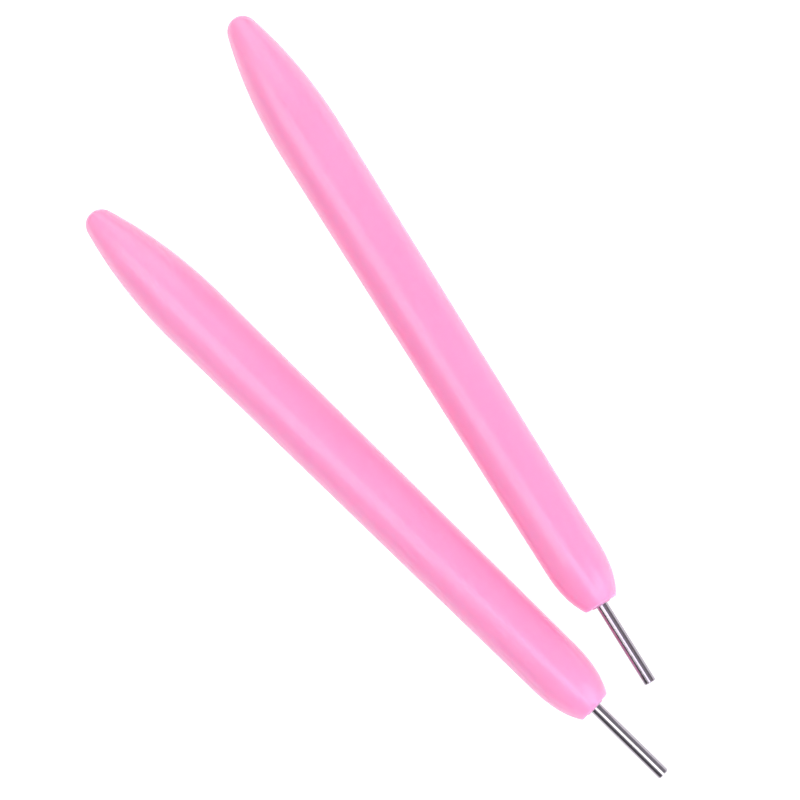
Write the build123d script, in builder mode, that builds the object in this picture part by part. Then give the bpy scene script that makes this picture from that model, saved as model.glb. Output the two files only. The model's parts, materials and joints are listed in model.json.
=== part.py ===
from build123d import *
from math import atan2, cos, degrees, radians, sin, sqrt, tan
import os

# A pair of slotted quilling tools lying loose on a table, spread like a fan. Each tool is a
# moulded handle, round all the way along, and a slotted steel needle pressed into its end.
# Millimetres, +Z up, the table at Z = 0, +X along the first tool from its butt to its needle.
# The origin is on the table, under the middle of the pair.

os.makedirs("parts", exist_ok=True)

# Handle, measured along its axis from the butt
handle_length = 95.0
nose_radius = 2.3
belly_place = 23.5
belly_diameter = 9.2
shoulder_length = 6.0
shoulder_turn_share = 0.62
shoulder_diameter = 7.15
face_diameter = 4.0
face_edge_round = 0.25

# Low boss that the mould leaves round the needle, on the end face
boss_diameter = 2.3
boss_height = 0.12

# Small dished scar where the moulding was broken off its runner, beside the tip of the butt
gate_scar_diameter = 0.9
gate_scar_depth = 0.12
gate_scar_offset = 0.6

# Needle, a straight steel pin: a shank buried in the handle and a thinner end ground down from it,
# with a slot sawn through it from the tip
needle_diameter = 1.4
needle_reach = 10.0
needle_tip_chamfer = 0.1
shank_diameter = 1.8
shank_length = 13.0
shank_foot_chamfer = 0.2
slot_width = 0.25
slot_past_face = 1.0

# Fit of the shank in its bore
press_overlap = 0.01
bore_spare = 0.5

# How the two tools lie: spread like a fan, the second one's butt a little behind the first one's,
# and a gap between the second one's shoulder and the side of the first
spread_angle = 15.55
second_butt_back = 3.6
shoulder_gap = 3.5

# Turns about a tool's own axis, from straight up, towards the left seen from the butt
first_slot_turn = 5.0
second_slot_turn = 30.0
first_gate_turn = -90.0
second_gate_turn = 90.0

# One overrun for every cut
cut_overrun = 1.0

# Half sizes
belly_radius = belly_diameter / 2
shoulder_radius = shoulder_diameter / 2
face_radius = face_diameter / 2
needle_radius = needle_diameter / 2
shank_radius = shank_diameter / 2
bore_radius = shank_radius - press_overlap

# The straight taper runs from the belly to the shoulder and falls towards the needle
shoulder_place = handle_length - shoulder_length
taper_fall = atan2(belly_radius - shoulder_radius, shoulder_place - belly_place)

# The flank is the one arc that runs tangent out of the round nose and into the taper at the
# belly. Its centre lies square to the taper, as far from the nose's centre as the two radii differ.
belly_past_nose = belly_place - nose_radius
flank_radius = (belly_past_nose**2 + belly_radius**2 - nose_radius**2) / (
    2 * (belly_radius * cos(taper_fall) + belly_past_nose * sin(taper_fall) - nose_radius)
)
flank_centre_x = belly_place - flank_radius * sin(taper_fall)
flank_centre_y = belly_radius - flank_radius * cos(taper_fall)
touch_angle = degrees(atan2(-flank_centre_y, nose_radius - flank_centre_x))
belly_angle = 90 - degrees(taper_fall)

# The shoulder curve leaves along the taper's line and turns down to the end face
shoulder_turn = shoulder_length * shoulder_turn_share
shoulder_turn_point = (
    shoulder_place + shoulder_turn * cos(taper_fall),
    shoulder_radius - shoulder_turn * sin(taper_fall),
)

# A tool lies on its taper, so its axis slopes down towards the needle by the taper's fall
butt_height = belly_radius * cos(taper_fall) + belly_place * sin(taper_fall)

# The second butt's distance to the side follows from the gap at its shoulder, which comes beside
# the first tool's taper
spread = radians(spread_angle)
second_shoulder_x = shoulder_place * cos(spread) - second_butt_back
first_radius_there = belly_radius - (second_shoulder_x - belly_place) * tan(taper_fall)
shoulder_spacing = first_radius_there + shoulder_gap + shoulder_radius * cos(spread)
second_butt_aside = shoulder_place * sin(spread) + shoulder_spacing

# The pair's box runs from the second butt's nose to the first needle's tip, and from the first
# belly to the second nose
pair_front = (handle_length + needle_reach) * cos(taper_fall)
pair_back = -second_butt_back - nose_radius * (1 - cos(spread))
pair_left = second_butt_aside + nose_radius * (1 - sin(spread))
pair_right = -belly_radius
first_butt_x = -(pair_front + pair_back) / 2
first_butt_y = -(pair_left + pair_right) / 2


# A tool's own plane: its origin is the tip of the butt, X runs along the axis to the needle and
# Y is up, so the half section of a turned shape is drawn straight on it
def lying_plane(butt_x, butt_y, heading):
    along = Vector(cos(heading) * cos(taper_fall), sin(heading) * cos(taper_fall), -sin(taper_fall))
    right = Vector(sin(heading), -cos(heading), 0)
    return Plane(origin=(butt_x, butt_y, butt_height), x_dir=along, z_dir=right)


# A plane square to the axis, facing the needle's tip, with its X turned from straight up
def cross_plane(tool, along_axis, turn=0.0):
    centre = tool.from_local_coords((along_axis, 0, 0))
    turned_up = tool.y_dir.rotate(Axis(centre, tool.x_dir), -turn)
    return Plane(origin=centre, x_dir=turned_up, z_dir=tool.x_dir)


# Handle: a solid of revolution with a blind bore for the needle
def moulded_handle(tool, gate_turn):
    tool_axis = Axis(tool.origin, tool.x_dir)
    with BuildPart() as handle:
        with BuildSketch(tool):
            with BuildLine():
                nose = CenterArc((nose_radius, 0), nose_radius, 180, touch_angle - 180)
                flank = CenterArc(
                    (flank_centre_x, flank_centre_y), flank_radius, touch_angle, belly_angle - touch_angle
                )
                taper = Line(flank @ 1, (shoulder_place, shoulder_radius))
                shoulder = Bezier(taper @ 1, shoulder_turn_point, (handle_length, face_radius))
                face = Line(shoulder @ 1, (handle_length, 0))
                Line(face @ 1, nose @ 0)
            make_face()
        revolve(axis=tool_axis)
        face_edge = handle.edges().filter_by(GeomType.CIRCLE).sort_by(tool_axis)[-1]
        fillet(face_edge, radius=face_edge_round)

        # Boss round the needle, with a broken edge
        with BuildSketch(cross_plane(tool, handle_length)):
            Circle(boss_diameter / 2)
        extrude(amount=boss_height)
        boss_edge = handle.edges().filter_by(GeomType.CIRCLE).sort_by(tool_axis)[-1]
        chamfer(boss_edge, length=boss_height / 2)

        # Blind bore, a little deeper than the shank goes
        with BuildSketch(cross_plane(tool, handle_length + boss_height + cut_overrun)):
            Circle(bore_radius)
        bore_depth = cut_overrun + shank_length + bore_spare
        extrude(amount=-bore_depth, mode=Mode.SUBTRACT)

        # Gate scar, a shallow flat-bottomed dish in the nose
        nose_fall = nose_radius - sqrt(nose_radius**2 - gate_scar_offset**2)
        with BuildSketch(cross_plane(tool, nose_fall + gate_scar_depth, gate_turn)):
            with Locations((gate_scar_offset, 0)):
                Circle(gate_scar_diameter / 2)
        extrude(amount=-(nose_fall + gate_scar_depth + cut_overrun), mode=Mode.SUBTRACT)
    return handle.part


# Needle: the slot leaves two prongs that grip the end of a paper strip
def slotted_needle(tool, slot_turn):
    tool_axis = Axis(tool.origin, tool.x_dir)
    step = handle_length + boss_height
    foot = step - shank_length
    tip = handle_length + needle_reach
    slot_end = handle_length - slot_past_face
    with BuildPart() as needle:
        # The shank ends level with the boss
        with BuildSketch(cross_plane(tool, foot)):
            Circle(shank_radius)
        extrude(amount=shank_length)
        with BuildSketch(cross_plane(tool, step)):
            Circle(needle_radius)
        extrude(amount=tip - step)
        ends = needle.edges().filter_by(GeomType.CIRCLE).sort_by(tool_axis)
        chamfer(ends[0], length=shank_foot_chamfer)
        chamfer(ends[-1], length=needle_tip_chamfer)

        # The saw goes right through, from the tip to just inside the handle
        with BuildSketch(cross_plane(tool, tip + cut_overrun, slot_turn)):
            Rectangle(shank_diameter + cut_overrun, slot_width)
        extrude(amount=-(tip + cut_overrun - slot_end), mode=Mode.SUBTRACT)
    return needle.part


first_tool = lying_plane(first_butt_x, first_butt_y, 0)
second_tool = lying_plane(first_butt_x - second_butt_back, first_butt_y + second_butt_aside, -spread)

# The four pieces, each in its own file
pieces = {
    "first_handle": moulded_handle(first_tool, first_gate_turn),
    "first_needle": slotted_needle(first_tool, first_slot_turn),
    "second_handle": moulded_handle(second_tool, second_gate_turn),
    "second_needle": slotted_needle(second_tool, second_slot_turn),
}
for name, piece in pieces.items():
    piece.label = name
    export_step(piece, f"parts/{name}.step")

# The radius that the outline's arcs work out to
print("flank radius", round(flank_radius, 2), "axis slope", round(degrees(taper_fall), 3))
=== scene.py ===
import bmesh
import bpy
import json
import math
from mathutils import Matrix, Quaternion, Vector
from mathutils.geometry import interpolate_bezier


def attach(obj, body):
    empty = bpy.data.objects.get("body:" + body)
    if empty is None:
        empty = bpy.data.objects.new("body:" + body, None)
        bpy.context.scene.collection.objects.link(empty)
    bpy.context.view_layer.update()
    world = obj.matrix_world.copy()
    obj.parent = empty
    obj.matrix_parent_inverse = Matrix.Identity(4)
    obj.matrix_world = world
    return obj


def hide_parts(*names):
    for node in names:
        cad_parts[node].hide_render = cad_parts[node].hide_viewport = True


# A pair of slotted quilling tools lying on a white table. Lengths are in metres, and each tool is
# drawn along +X from the tip of its butt, with Z up, before it is laid where the frame has it.
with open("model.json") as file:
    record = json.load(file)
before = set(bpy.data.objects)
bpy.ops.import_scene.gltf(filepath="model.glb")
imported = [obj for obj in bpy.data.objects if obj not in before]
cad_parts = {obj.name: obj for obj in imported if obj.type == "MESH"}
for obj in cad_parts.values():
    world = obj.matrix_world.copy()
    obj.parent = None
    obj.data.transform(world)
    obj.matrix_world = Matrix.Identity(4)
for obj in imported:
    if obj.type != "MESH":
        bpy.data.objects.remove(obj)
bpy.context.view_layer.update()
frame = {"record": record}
mm = 0.001

# The two handles. Each is one injection moulding in pink ABS, round all the way along, with a blind
# bore in its small end for the needle. The mould was filled through a gate at the butt, where a
# small scar is left.
handle_length = 95.0 * mm
nose_radius = 2.3 * mm
belly_place = 23.5 * mm
belly_radius = 4.6 * mm
shoulder_length = 6.0 * mm
shoulder_turn_share = 0.62
shoulder_radius = 3.575 * mm
face_radius = 2.0 * mm
face_edge_round = 0.25 * mm
boss_radius = 1.15 * mm
boss_height = 0.12 * mm
bore_radius = 0.89 * mm
bore_depth = 13.5 * mm
gate_scar_radius = 0.45 * mm
gate_scar_depth = 0.12 * mm
gate_scar_offset = 0.6 * mm
gate_side = {"first": -1, "second": 1}

# The places along the axis where the boss and the bore end
boss_top = handle_length + boss_height
bore_floor = boss_top - bore_depth

# Facets round the axis and steps along each curve, fine enough that no corner shows
handle_sides = 144
scar_sides = 48
nose_steps, flank_steps, taper_steps, face_edge_steps = 16, 48, 32, 4
shoulder_points = 20

# Points nearer than this are welded, and only edges sharper than this stay hard
weld_reach = 0.0005 * mm
smooth_limit = math.radians(35)


def own_place(which):
    """Where a tool lies: its own axes, found from its needle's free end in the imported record."""
    pin = next(m for m in frame["record"]["mounts"] if m["name"] == f"{which}_needle_free_end")
    along = Vector(pin["axis"])
    left = Vector((0, 0, 1)).cross(along).normalized()
    up = along.cross(left)
    pin_middle = boss_top + pin["dims"]["length_mm"] * mm / 2
    place = Matrix((along, left, up)).transposed().to_4x4()
    place.translation = Vector(pin["pos_m"]) - along * pin_middle
    return place


def draw_line(outline, x, radius):
    """Carries a half outline on from its last vertex, straight to a place along the axis."""
    outline.verts.ensure_lookup_table()
    end = bmesh.ops.extrude_vert_indiv(outline, verts=[outline.verts[-1]])["verts"][0]
    end.co = (x, 0, radius)


def draw_arc(outline, centre_x, centre_radius, angle, steps):
    """Carries a half outline on from its last vertex, round a centre in the outline's plane."""
    outline.verts.ensure_lookup_table()
    bmesh.ops.spin(outline, geom=[outline.verts[-1]], cent=(centre_x, 0, centre_radius),
                   axis=(0, 1, 0), angle=angle, steps=steps)


def turn_solid(outline, sides):
    """Spins a half outline right round X, and closes it where it meets the axis."""
    half = outline.verts[:] + outline.edges[:]
    bmesh.ops.spin(outline, geom=half, cent=(0, 0, 0), axis=(1, 0, 0), angle=math.tau, steps=sides,
                   use_merge=True)
    bmesh.ops.remove_doubles(outline, verts=outline.verts, dist=weld_reach)
    bmesh.ops.recalc_face_normals(outline, faces=outline.faces)


def make_object(shape, name):
    """Turns a finished bmesh into an object at the origin."""
    mesh = bpy.data.meshes.new(name)
    shape.to_mesh(mesh)
    shape.free()
    made = bpy.data.objects.new(name, mesh)
    bpy.context.collection.objects.link(made)
    return made


def cut_away(piece, cutter):
    """Cuts one closed shape out of another and smooths what is left, except at its real edges."""
    cut = piece.modifiers.new("cut", "BOOLEAN")
    cut.operation, cut.solver, cut.object = "DIFFERENCE", "EXACT", cutter
    done = piece.evaluated_get(bpy.context.evaluated_depsgraph_get())
    piece.modifiers.clear()
    piece.data = bpy.data.meshes.new_from_object(done)
    bpy.data.objects.remove(cutter)
    piece.data.shade_smooth()
    piece.data.set_sharp_from_angle(angle=smooth_limit)


def linear(hex_colour):
    """An sRGB colour such as "#ff8fc8" as the linear RGBA that Blender's sockets take."""
    parts = [int(hex_colour[i:i + 2], 16) / 255 for i in (1, 3, 5)]
    return [p / 12.92 if p <= 0.04045 else ((p + 0.055) / 1.055) ** 2.4 for p in parts] + [1.0]


def add_node(tree, kind, inputs=None, **settings):
    """Adds a node: settings are its own options, and inputs are values or other nodes' outputs."""
    node = tree.nodes.new(kind)
    for name, value in settings.items():
        setattr(node, name, value)
    for name, value in (inputs or {}).items():
        if isinstance(value, bpy.types.NodeSocket):
            tree.links.new(value, node.inputs[name])
        else:
            node.inputs[name].default_value = value
    return node


def moulded_plastic(name, place):
    """Pink ABS from a polished mould: a soft gloss, slightly milky, with the colour very even."""
    pink, deep_pink = linear("#ffa6ca"), linear("#ffa0c5")
    swirl_length, swirl_width = 22.0 * mm, 5.0 * mm
    sink_length, sink_width, sink_depth = 4.0 * mm, 2.2 * mm, 0.012 * mm
    grain_size, grain_depth = 0.16 * mm, 0.0006 * mm
    plastic = bpy.data.materials.new(name)
    plastic.use_nodes = True
    tree = plastic.node_tree
    tree.nodes.clear()
    seen = add_node(tree, "ShaderNodeTexCoord").outputs["Object"]
    # The patterns lie along the tool: each is turned to its axis and scaled by its own lengths
    own_axes = {"Vector": seen, "Location": place.translation, "Rotation": place.to_euler()}

    # Pigment that swirled a little as the plastic flowed along the mould
    swirl_place = add_node(tree, "ShaderNodeMapping", vector_type="TEXTURE", inputs={
        **own_axes, "Scale": (swirl_length, swirl_width, swirl_width)})
    swirl = add_node(tree, "ShaderNodeTexNoise", {
        "Vector": swirl_place.outputs["Vector"], "Scale": 1.0, "Detail": 2.0})
    colour = add_node(tree, "ShaderNodeMix", {"Factor": swirl.outputs["Fac"]}, data_type="RGBA")
    colour.inputs["A"].default_value, colour.inputs["B"].default_value = pink, deep_pink

    # Shallow sink waves, which bend the edge of a highlight. The gloss varies a little with them.
    sink_place = add_node(tree, "ShaderNodeMapping", vector_type="TEXTURE", inputs={
        **own_axes, "Scale": (sink_length, sink_width, sink_width)})
    sink = add_node(tree, "ShaderNodeTexNoise", {
        "Vector": sink_place.outputs["Vector"], "Scale": 1.0, "Detail": 1.5})
    waves = add_node(tree, "ShaderNodeBump", {
        "Height": sink.outputs["Fac"], "Distance": sink_depth})
    gloss = add_node(tree, "ShaderNodeMapRange", {
        "Value": sink.outputs["Fac"], "To Min": 0.20, "To Max": 0.26})

    # The mould's own fine grain
    grain_place = add_node(tree, "ShaderNodeMapping", vector_type="TEXTURE", inputs={
        **own_axes, "Scale": (grain_size, grain_size, grain_size)})
    grain = add_node(tree, "ShaderNodeTexNoise", {
        "Vector": grain_place.outputs["Vector"], "Scale": 1.0, "Detail": 2.0})
    skin = add_node(tree, "ShaderNodeBump", {
        "Height": grain.outputs["Fac"], "Distance": grain_depth, "Normal": waves.outputs["Normal"]})

    body = add_node(tree, "ShaderNodeBsdfPrincipled", {
        "Base Color": colour.outputs["Result"], "Roughness": gloss.outputs["Result"],
        "Normal": skin.outputs["Normal"], "IOR": 1.53, "Subsurface Weight": 0.8,
        "Subsurface Radius": (1.0, 0.6, 0.7), "Subsurface Scale": 2.0 * mm})
    add_node(tree, "ShaderNodeOutputMaterial", {"Surface": body.outputs["BSDF"]})
    return plastic


# The outline's arcs run into each other and into the taper, which leans by its fall
shoulder_place = handle_length - shoulder_length
taper_fall = math.atan2(belly_radius - shoulder_radius, shoulder_place - belly_place)
belly_past_nose = belly_place - nose_radius
belly_across_taper = belly_radius * math.cos(taper_fall) + belly_past_nose * math.sin(taper_fall)
flank_radius = (belly_past_nose**2 + belly_radius**2 - nose_radius**2) / (
    2 * (belly_across_taper - nose_radius))
flank_centre_x = belly_place - flank_radius * math.sin(taper_fall)
flank_centre_radius = belly_radius - flank_radius * math.cos(taper_fall)
nose_turn = math.pi - math.atan2(-flank_centre_radius, nose_radius - flank_centre_x)
flank_turn = math.pi / 2 + taper_fall - nose_turn

# The shoulder's curve pulls towards the point where the taper, carried on, turns down to the face.
# Both of the cubic's control points stand two thirds of the way to it, as for a quadratic curve.
shoulder_turn = shoulder_length * shoulder_turn_share
turn_point = Vector((shoulder_place + shoulder_turn * math.cos(taper_fall), 0,
                     shoulder_radius - shoulder_turn * math.sin(taper_fall)))
belly = Vector((belly_place, 0, belly_radius))
shoulder_start = Vector((shoulder_place, 0, shoulder_radius))
face_edge = Vector((handle_length, 0, face_radius))
shoulder_curve = interpolate_bezier(shoulder_start, shoulder_start.lerp(turn_point, 2 / 3),
                                    face_edge.lerp(turn_point, 2 / 3), face_edge, shoulder_points)

# How far from the end face's edge its rounding starts, by the angle between face and shoulder
face_fall = math.atan2(turn_point.z - face_radius, handle_length - turn_point.x)
round_reach = face_edge_round * math.tan((math.pi / 2 - face_fall) / 2)

# From the foot of the boss over its broken edge, down the bore and in to the axis
boss_foot = Vector((handle_length, 0, boss_radius))
boss_and_bore = [(handle_length + boss_height / 2, boss_radius),
                 (boss_top, boss_radius - boss_height / 2),
                 (boss_top, bore_radius), (bore_floor, bore_radius), (bore_floor, 0)]

# The gate's scar is a flat-bottomed dish beside the tip of the butt
scar_floor = nose_radius - math.sqrt(nose_radius**2 - gate_scar_offset**2) + gate_scar_depth

for which in ("first", "second"):
    outline = bmesh.new()
    outline.verts.new((0, 0, 0))
    draw_arc(outline, nose_radius, 0, nose_turn, nose_steps)
    draw_arc(outline, flank_centre_x, flank_centre_radius, flank_turn, flank_steps)
    for step in range(1, taper_steps + 1):
        taper_point = belly.lerp(shoulder_start, step / taper_steps)
        draw_line(outline, taper_point.x, taper_point.z)
    for point in shoulder_curve[1:]:
        draw_line(outline, point.x, point.z)

    # The edge of the end face is rounded before the outline goes on to the boss and the bore. That
    # reorders the vertices, so the outline's end is found again by its place.
    draw_line(outline, boss_foot.x, boss_foot.z)
    outline.verts.ensure_lookup_table()
    bmesh.ops.bevel(outline, geom=[outline.verts[-2]], affect="VERTICES", offset=round_reach,
                    segments=face_edge_steps, profile=0.5, material=-1)
    last = min(outline.verts, key=lambda v: (v.co - boss_foot).length)
    for x, radius in boss_and_bore:
        last = bmesh.ops.extrude_vert_indiv(outline, verts=[last])["verts"][0]
        last.co = (x, 0, radius)
    turn_solid(outline, handle_sides)
    place = own_place(which)
    bmesh.ops.transform(outline, matrix=place, verts=outline.verts)
    handle = make_object(outline, f"{which}_moulded_handle")

    # The scar's cutter lies along the axis, with half of it inside the nose
    scar = bmesh.new()
    bmesh.ops.create_cone(scar, cap_ends=True, segments=scar_sides, radius1=gate_scar_radius,
                          radius2=gate_scar_radius, depth=2 * scar_floor)
    stand = Matrix.Translation((0, gate_side[which] * gate_scar_offset, 0))
    across = Matrix.Rotation(math.pi / 2, 4, "Y")
    bmesh.ops.transform(scar, matrix=place @ stand @ across, verts=scar.verts)
    cut_away(handle, make_object(scar, "gate_scar"))

    handle.data.materials.clear()
    handle.data.materials.append(moulded_plastic(f"moulded_pink_abs_{which}", place))
    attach(handle, f"{which}_tool")
    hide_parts(f"{which}_handle")

# The two needles. Each is hard steel wire, left thick where it is pressed into the handle and
# ground down outside, then sawn through lengthwise so that two prongs grip the end of a paper
# strip.
needle_radius = 0.7 * mm
needle_reach = 10.0 * mm
needle_tip_chamfer = 0.1 * mm
shank_radius = 0.9 * mm
shank_length = 13.0 * mm
shank_foot_chamfer = 0.2 * mm
slot_width = 0.25 * mm
slot_past_face = 1.0 * mm
slot_turn = {"first": math.radians(5), "second": math.radians(30)}
cut_overrun = 1.0 * mm
needle_sides = 96

# The shank ends level with the boss, and the saw cuts from past the tip to just inside the handle
shank_foot = boss_top - shank_length
needle_tip = handle_length + needle_reach
saw_start, saw_end = handle_length - slot_past_face, needle_tip + cut_overrun


def ground_steel(name, place):
    """Steel wire ground round: grey, fairly bright, with fine marks that run across it."""
    steel = bpy.data.materials.new(name)
    steel.use_nodes = True
    tree = steel.node_tree
    tree.nodes.clear()
    light_steel, dark_steel = linear("#bcb8bd"), linear("#a49fa5")
    # Real marks are a few hundredths of a millimetre apart, too fine to show, so these are wider
    mark_spacing, mark_length, mark_depth = 0.14 * mm, 1.6 * mm, 0.004 * mm
    seen = add_node(tree, "ShaderNodeTexCoord").outputs["Object"]
    across = add_node(tree, "ShaderNodeMapping", vector_type="TEXTURE", inputs={
        "Vector": seen, "Location": place.translation, "Rotation": place.to_euler(),
        "Scale": (mark_spacing, mark_length, mark_length)})
    marks = add_node(tree, "ShaderNodeTexNoise", {
        "Vector": across.outputs["Vector"], "Scale": 1.0, "Detail": 3.0})
    colour = add_node(tree, "ShaderNodeMix", {"Factor": marks.outputs["Fac"]}, data_type="RGBA")
    colour.inputs["A"].default_value, colour.inputs["B"].default_value = dark_steel, light_steel
    rough = add_node(tree, "ShaderNodeMapRange", {
        "Value": marks.outputs["Fac"], "To Min": 0.12, "To Max": 0.22})
    groove = add_node(tree, "ShaderNodeBump", {
        "Height": marks.outputs["Fac"], "Distance": mark_depth})
    body = add_node(tree, "ShaderNodeBsdfPrincipled", {
        "Base Color": colour.outputs["Result"], "Metallic": 1.0,
        "Roughness": rough.outputs["Result"], "Normal": groove.outputs["Normal"]})
    add_node(tree, "ShaderNodeOutputMaterial", {"Surface": body.outputs["BSDF"]})
    return steel


for which in ("first", "second"):
    outline = bmesh.new()
    outline.verts.new((shank_foot, 0, 0))
    draw_line(outline, shank_foot, shank_radius - shank_foot_chamfer)
    draw_line(outline, shank_foot + shank_foot_chamfer, shank_radius)
    draw_line(outline, boss_top, shank_radius)
    draw_line(outline, boss_top, needle_radius)
    draw_line(outline, needle_tip - needle_tip_chamfer, needle_radius)
    draw_line(outline, needle_tip, needle_radius - needle_tip_chamfer)
    draw_line(outline, needle_tip, 0)
    turn_solid(outline, needle_sides)
    place = own_place(which)
    bmesh.ops.transform(outline, matrix=place, verts=outline.verts)
    needle = make_object(outline, f"{which}_slotted_needle")

    # The cut is turned a little about the axis
    saw = bmesh.new()
    bmesh.ops.create_cube(saw, size=1)
    bmesh.ops.scale(saw, vec=(saw_end - saw_start, slot_width, 2 * shank_radius + cut_overrun),
                    verts=saw.verts)
    bmesh.ops.translate(saw, vec=((saw_start + saw_end) / 2, 0, 0), verts=saw.verts)
    turn = Matrix.Rotation(-slot_turn[which], 4, "X")
    bmesh.ops.transform(saw, matrix=place @ turn, verts=saw.verts)
    cut_away(needle, make_object(saw, "saw_cut"))

    needle.data.materials.clear()
    needle.data.materials.append(ground_steel(f"ground_steel_{which}", place))
    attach(needle, f"{which}_tool")
    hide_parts(f"{which}_needle")

# The table, a sheet of white acrylic lit from below, so that no shadow shows on it. The studio's
# wall stands round the tools, pale paper that is lit evenly.
table_size = 5.0
wall_radius, wall_height, wall_sides = 2.4, 4.0, 96


def plain_material(name, sockets):
    """A material with one even surface, from the values of the shader's own sockets."""
    made = bpy.data.materials.new(name)
    made.use_nodes = True
    surface = made.node_tree.nodes["Principled BSDF"].inputs
    for socket, value in sockets.items():
        surface[socket].default_value = value
    return made


sheet = bmesh.new()
bmesh.ops.create_grid(sheet, x_segments=1, y_segments=1, size=table_size / 2)
table = make_object(sheet, "lit_acrylic_table")
table.data.materials.append(plain_material("lit_white_acrylic", {
    "Base Color": linear("#a0a0a0"), "Roughness": 0.9,
    "Emission Color": linear("#ffffff"), "Emission Strength": 0.85}))

paper_roll = bmesh.new()
bmesh.ops.create_cone(paper_roll, cap_ends=False, segments=wall_sides, radius1=wall_radius,
                      radius2=wall_radius, depth=wall_height)
bmesh.ops.translate(paper_roll, vec=(0, 0, wall_height / 2), verts=paper_roll.verts)
wall = make_object(paper_roll, "paper_wall")
wall.data.materials.append(plain_material("pale_matt_paper", {
    "Base Color": linear("#000000"), "Roughness": 1.0, "Specular IOR Level": 0.0,
    "Emission Color": linear("#f3f2f4"), "Emission Strength": 1.0}))
# The wall is only what stands behind the tools: it neither lights them nor shows in their gloss
wall.visible_diffuse = wall.visible_glossy = wall.visible_transmission = wall.visible_shadow = False

# Studio light: a large soft box above the butts, whose edge draws the soft line along the handles,
# a window beyond the needles that lights the shoulders, two fills from the far side, and a grey
# room, darker on the side that the soft box hides.
room = bpy.data.worlds.new("grey_room")
room.use_nodes = True
tree = room.node_tree
direction = add_node(tree, "ShaderNodeTexCoord").outputs["Generated"]
side = add_node(tree, "ShaderNodeSeparateXYZ", {"Vector": direction})
walls = add_node(tree, "ShaderNodeMapRange", {
    "Value": side.outputs["Y"], "From Min": -0.9, "From Max": -0.3, "To Min": 0.10, "To Max": 0.40})
tree.links.new(walls.outputs["Result"], tree.nodes["Background"].inputs["Strength"])
tree.nodes["Background"].inputs["Color"].default_value = linear("#f7f3ff")
bpy.context.scene.world = room


def soft_lamp(name, place, aim, length, width, brightness, colour):
    """A flat lamp, level along its length; at a brightness of 1 all round, white card is white."""
    lamp = bpy.data.lights.new(name, "AREA")
    lamp.shape, lamp.size, lamp.size_y = "RECTANGLE", length, width
    lamp.energy = brightness * math.pi * length * width
    lamp.color = linear(colour)[:3]
    holder = bpy.data.objects.new(name, lamp)
    bpy.context.collection.objects.link(holder)
    holder.visible_camera = False
    holder.location = place
    holder.rotation_mode = "QUATERNION"
    holder.rotation_quaternion = (Vector(aim) - Vector(place)).to_track_quat("-Z", "Y")


# Each lamp's name, place, aim, length, width, brightness and colour
soft_lamp("soft_box", (-0.38, -0.20, 0.5), (-0.38, -0.20, 0), 0.74, 0.40, 2.25, "#fff6f4")
soft_lamp("window", (0.32, -0.05, 0.53), (0.04, -0.05, 0), 0.28, 0.81, 3.2, "#ede3ff")
soft_lamp("butt_fill", (-0.6, 0.35, 0.38), (-0.01, 0, 0), 0.5, 0.5, 1.3, "#fff2f3")
soft_lamp("needle_fill", (0.6, 0.35, 0.38), (0.01, 0, 0), 0.5, 0.5, 3.1, "#f0e8ff")

# The camera, with the place, aim and roll that the photograph was taken from. Its focal length and
# sensor are in millimetres, and the rest is in metres.
camera_place = Vector((44.425, -0.613, 123.072)) * mm
camera_aim = Vector((1.017, -5.392, 0)) * mm
camera_roll = math.radians(53.865)
focal_length, sensor_width = 45.0, 36.0
nearest_seen, farthest_seen = 1 * mm, 10.0
lens = bpy.data.cameras.new("camera")
lens.lens, lens.sensor_width = focal_length, sensor_width
lens.clip_start, lens.clip_end = nearest_seen, farthest_seen
camera = bpy.data.objects.new("camera", lens)
bpy.context.collection.objects.link(camera)
look = (camera_aim - camera_place).normalized()
camera.location = camera_place
camera.rotation_mode = "QUATERNION"
camera.rotation_quaternion = Quaternion(look, camera_roll) @ look.to_track_quat("-Z", "Y")
bpy.context.scene.camera = camera
bpy.context.scene.view_settings.view_transform = "Standard"
